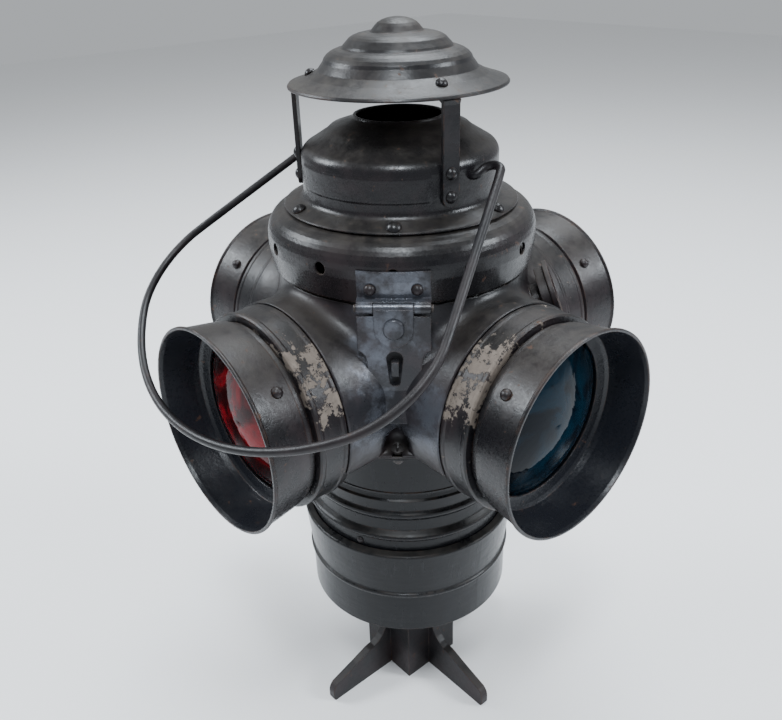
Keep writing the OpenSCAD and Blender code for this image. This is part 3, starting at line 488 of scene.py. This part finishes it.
def chipped(place, spots, patches):
    """Ragged primer spots on the upper shoulders of the bands that face the hasp."""
    toward = part_of(place, 0) * hasp_x + part_of(place, 1) * hasp_y
    high = part_of(place, 2)
    window = toward.step(78 * mm, 92 * mm) * high.step(lens_z + 4 * mm, lens_z + 30 * mm)
    window = window * (1 - high.step(lens_z + 50 * mm, lens_z + 60 * mm))
    ragged = cloud(place, 85, 9, 0.74, None, 0.15)
    return (ragged + window * 0.15).step(0.625, 0.635)


def hood_inside(place, facing):
    """1 on the faces of a hood that look towards its own lens axis."""
    x, y = part_of(place, 0), part_of(place, 1)
    on_y = x.math("ABSOLUTE").math("LESS_THAN", y.math("ABSOLUTE"))
    outward = part_of(facing, 0) * x * on_y + part_of(facing, 1) * y * (1 - on_y)
    outward = outward + part_of(facing, 2) * (part_of(place, 2) - lens_z)
    return 1 - outward.step(-4 * mm, 4 * mm)


tube_enamel = old_enamel("tube_enamel", rough=0.34, dust=0.6, thin=0.6, rust=0.6, dents=0.4)
band_enamel = old_enamel("chipped_band_enamel", rough=0.3, dust=0.7, thin=0.7, rust=1.0, dents=0.35,
                         chips=chipped)
# Inside each hood the enamel gets less dust and a painted blue-black shade.
hood_enamel = old_enamel("hood_enamel", rough=0.27, dust=0.75, thin=0.7, rust=0.9, dents=0.45,
                         shade_and_shelter=hood_inside)
for side in ("front", "right", "back", "left"):
    coat(tube_enamel, "lens_tube_" + side)
    coat(band_enamel, "lens_band_" + side)
    coat(hood_enamel, "lens_hood_" + side)
coat(rivet_black, "hood_rivets")
coat(bolt_steel, "hood_screws", "hood_nuts")

# Lenses: thick pressed glass, convex outside, red across one line and blue-green across the
# other. Each is bedded on a felt ring and held by the set-back step of its hood.


def lens_glass(name, tone, deep):
    """Deep coloured glass, drawn solid, with painted bright streaks for the light that runs through it.
    """
    material, shader, place = new_finish(name)[:3]
    swirl = cloud(place, 22, 4, 0.5, None, 1.2)
    film = cloud(place, 160, 5, 0.6)
    # The bright streak colour is painted light running through the glass.
    streak = swirl.step(0.42, 0.56) * (1 - swirl.step(0.56, 0.7))
    colour = tinted(streak, (*deep, 1), (*tone, 1))
    set_shader(shader, Base_Color=colour, Roughness=0.03 + film.step(0.5, 0.8) * 0.09,
               IOR=1.25, Specular_IOR_Level=0.3, Normal=uneven(swirl, 0.5 * mm))
    return material


red_lens = lens_glass("red_lens_glass", (0.17, 0.002, 0.006), (0.016, 0.0008, 0.0012))
blue_lens = lens_glass("blue_green_lens_glass", (0.002, 0.012, 0.022), (0.0008, 0.0028, 0.006))
coat(red_lens, "lens_front", "lens_back")
coat(blue_lens, "lens_right", "lens_left")


def fibre(name, tone, scale):
    """Matted threads, darker in the hollows between them: a painted shade."""
    material, shader, place = new_finish(name)[:3]
    weave = cloud(place, scale, 6, 0.7, (1, 1, 0.4))
    red, green, blue = tone
    # Painted shade in the hollows of the weave.
    colour = tinted(weave, (*tone, 1), (red * 0.45, green * 0.45, blue * 0.42, 1))
    set_shader(shader, Base_Color=colour, Roughness=0.95, Normal=uneven(weave, 0.5 * mm))
    return material


coat(fibre("gasket_felt", (0.10, 0.09, 0.08), 800), "lens_gaskets")

# Sight tube: a short bell at the side of the body with a clear glass, to see the flame.
coat(body_enamel, "sight_tube")


def smoked_glass(name):
    """Clear window glass with a film of lamp soot."""
    material, shader, place = new_finish(name)[:3]
    smoke = cloud(place, 90, 4)
    set_shader(shader, Base_Color=tinted(smoke, (0.75, 0.76, 0.72, 1), (0.35, 0.33, 0.28, 1)),
               Roughness=0.08 + smoke * 0.2, Transmission_Weight=0.85)
    return material


coat(smoked_glass("sight_glass_clear"), "sight_glass")

# Lid: the draft hood with its ring of vents, the chimney on it, and the inner flue that keeps
# rain off the flame. They are enamelled sheet, joined by six screws through the flange.
lid_enamel = old_enamel("lid_enamel", rough=0.25, dust=0.8, thin=0.65, rust=0.8, dents=0.5)
coat(lid_enamel, "draft_hood")
chimney_low, chimney_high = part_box("chimney")
chimney_r, chimney_neck = 59.2 * mm, 27 * mm
flange_r, flange_low = chimney_high.x, chimney_low.z
chimney_top = chimney_high.z
shoulder_z = chimney_top - 15 * mm
panel_low, panel_high = chimney_low.z + 14 * mm, shoulder_z - 9 * mm
panel_from, panel_to = math.radians(-112), math.radians(-26)
panel_proud, panel_edge = 0.55 * mm, 1.2 * mm


def curve(centre_r, centre_z, size_r, size_z, start, end, steps=10):
    """Points along an elliptical arc in a profile, from one angle to another in degrees."""
    angles = [math.radians(start + (end - start) * i / steps) for i in range(steps + 1)]
    return [(centre_r + size_r * math.cos(a), centre_z + size_z * math.sin(a)) for a in angles]


profile = curve(chimney_neck + 6 * mm, chimney_top - 0.6 * mm, 6 * mm, 3.2 * mm, 180, 250, 8)
profile += [(chimney_neck + 14 * mm, chimney_top - 6.9 * mm),
            (chimney_r - 15 * mm, shoulder_z + 5.4 * mm)]
profile += curve(chimney_r - 8 * mm, shoulder_z - 8.2 * mm, 8 * mm, 8 * mm, 66, 0)
wall_top, wall_low = shoulder_z - 9 * mm, chimney_low.z + 10.6 * mm
profile += [(chimney_r, wall_top + (wall_low - wall_top) * i / 34) for i in range(35)]
profile += curve(chimney_r + 4.6 * mm, chimney_low.z + 9.2 * mm, 4.6 * mm, 4.6 * mm, 183, 250)
profile += [(flange_r - 3 * mm, flange_low + 2.6 * mm), (flange_r - 0.5 * mm, flange_low + 1.6 * mm),
            (flange_r - 0.1 * mm, flange_low + 1.1 * mm)]
chimney_turns = np.linspace(-math.pi, math.pi, 240, endpoint=False)
chimney_points = np.zeros((len(profile), len(chimney_turns), 3))
for i, (r, z) in enumerate(profile):
    tall = np.clip((min(z - panel_low, panel_high - z) + panel_edge / 2) / panel_edge, 0, 1)
    wide = np.clip(np.minimum(chimney_turns - panel_from, panel_to - chimney_turns) * 55, 0, 1)
    raised = r + panel_proud * tall * wide
    chimney_points[i, :, 0] = raised * np.cos(chimney_turns)
    chimney_points[i, :, 1] = raised * np.sin(chimney_turns)
    chimney_points[i, :, 2] = z
chimney = skin("chimney_skin", (chimney_points[::-1], None, True))
bake_modifier(chimney, "SOLIDIFY", thickness=1.5 * mm, offset=-1)
chimney.data.materials.append(lid_enamel)
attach(chimney, "lid")
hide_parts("chimney")
coat(tin, "inner_flue")
coat(rivet_black, "flange_screws", "strap_rivets", "cap_rivets", "leaf_rivets")

# Rain cap: spun sheet in three steps, on three riveted straps. It lies under the sky, so it is
# the dustiest piece, and its brim has rusted through the paint.
cap_enamel = old_enamel("cap_enamel", rough=0.3, dust=1.0, thin=0.7, rust=1.0, dents=0.45)
coat(cap_enamel, "rain_cap", "cap_strap_1", "cap_strap_2", "cap_strap_3")

# Hinges, hasp and catch: stamped strap steel on wire pins. The hasp was painted with the body,
# and fingers have worn it smoother; its bluish shine is a painted highlight.
hasp_enamel = old_enamel("worn_hasp_enamel_highlit", rough=0.24, dust=0.3, thin=0.9, rust=0.7, dents=0.45,
                         rubs_and_highlight=beside_hasp)
coat(hasp_enamel, "hasp_plate", "hasp_tab", "hasp_rivet", "hasp_leaf", "lid_hinge_leaf",
     "rear_hinge_leaf", "latch_catch")
coat(bolt_steel, "hasp_pin", "rear_hinge_pin")

# Bail: one length of spring wire, sprung into two holes in the chimney.
bail_black = old_enamel("bail_paint", rough=0.36, dust=0.15, thin=0.5, rust=0.3, dents=0.05)
wire_r = 2.5 * mm
loop_at, loop_r, elbow_r = 70 * mm, 7 * mm, 3.2 * mm
bail_corner_r, bow_r, bail_reach = 62 * mm, 150 * mm, 204 * mm
leg_spread, bail_tilt = math.radians(23), math.radians(55)
bow_down = bail_reach - bow_r
between = (loop_at * math.cos(leg_spread) + (bow_down + elbow_r) * math.sin(leg_spread)
           + loop_r - bail_corner_r) / (bow_r - bail_corner_r)
corner_turn = math.acos(between) - leg_spread
corner_across = (bow_r - bail_corner_r) * math.cos(corner_turn)
corner_down = bow_down + (bow_r - bail_corner_r) * math.sin(corner_turn)


def bend(x, y, r, start, end, steps):
    """Points along a bend of the wire, in the plane of the bail."""
    turn = np.linspace(start, end, steps)
    return [(x + r * math.cos(a), y + r * math.sin(a)) for a in turn]


half = [(54 * mm, 0), (57 * mm, 0)]
half += bend(loop_at - loop_r - elbow_r, -elbow_r, elbow_r, math.pi / 2, 0, 7)
half += bend(loop_at, -elbow_r, loop_r, -math.pi, -leg_spread, 16)[1:]
half += bend(corner_across, corner_down, bail_corner_r, -leg_spread, corner_turn, 22)
half += bend(0, bow_down, bow_r, corner_turn, math.pi / 2, 20)[1:]
route = np.array([(-x, y) for x, y in half][:-1] + half[::-1])
for _ in range(2):
    route[1:-1] = 0.25 * route[:-2] + 0.5 * route[1:-1] + 0.25 * route[2:]
ahead = np.gradient(route, axis=0)
ahead /= np.linalg.norm(ahead, axis=1)[:, None]
bail_z = next(joint for joint in frame["joints"] if joint["name"] == "bail_swing")["pos_m"][2]
down = np.array([0, -math.sin(bail_tilt), -math.cos(bail_tilt)])
out_of_plane = np.array([0, -math.cos(bail_tilt), math.sin(bail_tilt)])
sideways = np.array([1.0, 0, 0])
sides = np.linspace(0, 2 * math.pi, 24, endpoint=False)
wire_points = np.zeros((len(route), len(sides), 3))
for i, ((x, y), (dx, dy)) in enumerate(zip(route, ahead)):
    centre = x * sideways + y * down + np.array([0, 0, bail_z])
    side = dy * sideways - dx * down
    section = np.outer(np.cos(sides), side) + np.outer(np.sin(sides), out_of_plane)
    wire_points[i] = centre + wire_r * section
bail = skin("bail_wire", (wire_points, None, True))
for end in (0, len(sides) * (len(route) - 1)):
    build = bmesh.new()
    build.from_mesh(bail.data)
    build.verts.ensure_lookup_table()
    build.faces.new([build.verts[end + k] for k in range(len(sides))])
    bmesh.ops.recalc_face_normals(build, faces=build.faces)
    build.to_mesh(bail.data)
    build.free()
bail.data.materials.append(bail_black)
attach(bail, "bail")
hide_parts("bail")

# Oil font and burner: a tinned can with a screwed filler cap and a flat-wick brass burner. It
# lifts out through the open lid, and the thumb wheel beside the burner raises the wick.
brass = scuffed_steel("tarnished_brass", (0.36, 0.24, 0.09), 0.32, 1.0, 0.2)
coat(tin, "oil_font")
coat(brass, "font_cap", "burner", "wick_knob")
coat(fibre("wick_cotton", (0.62, 0.57, 0.46), 900), "wick")

# Stand, light and camera: a pale floor under soft light, seen from above the hasp corner.
heading, pitch, roll = math.radians(139.7), math.radians(-27.96), math.radians(1.85)
camera_place = Vector((0.3664, -0.3230, 0.5273))
level = math.cos(pitch)
forward = Vector((math.cos(heading) * level, math.sin(heading) * level, math.sin(pitch)))
right = forward.cross(Vector((0, 0, 1))).normalized()
up = right.cross(forward)
turned = Matrix.Rotation(roll, 3, forward)
basis = Matrix((turned @ right, turned @ up, -forward)).transposed().to_4x4()
camera = bpy.data.objects.new("camera", bpy.data.cameras.new("camera"))
camera.data.sensor_width = 36
camera.data.lens = 37.34
camera.matrix_world = Matrix.Translation(camera_place) @ basis
bpy.context.scene.collection.objects.link(camera)
bpy.context.scene.camera = camera

bpy.ops.mesh.primitive_plane_add(size=8, location=(0, 0, cad_box[0][2]))
floor = bpy.context.object
floor.name = "floor"
floor_paper, paper_shader = new_finish("pale_floor")[:2]
set_shader(paper_shader, Base_Color=(0.88, 0.88, 0.88, 1), Roughness=0.8, Specular_IOR_Level=0.2)
floor.data.materials.append(floor_paper)


def soft_box(name, place, size, power):
    """A studio light that faces the middle of the lamp."""
    light = bpy.data.objects.new(name, bpy.data.lights.new(name, "AREA"))
    light.data.energy = power
    light.data.size = size
    light.data.color = (0.88, 0.94, 1.0)
    light.location = place
    light.rotation_euler = (Vector((0, 0, 0.28)) - Vector(place)).to_track_quat("-Z", "Y").to_euler()
    bpy.context.scene.collection.objects.link(light)


soft_box("overhead_box", (-0.35, 0.6, 1.8), 0.9, 36)
soft_box("right_box", (1.25, 0.95, 1.2), 0.5, 24)
soft_box("left_box", (-1.15, -0.85, 1.2), 0.5, 24)
soft_box("window_box", (0.6, -0.6, 1.7), 0.3, 22)
world = bpy.data.worlds.new("studio")
world.use_nodes = True
world.node_tree.nodes["Background"].inputs["Color"].default_value = (0.92, 0.96, 1.0, 1)
world.node_tree.nodes["Background"].inputs["Strength"].default_value = 0.5
bpy.context.scene.world = world
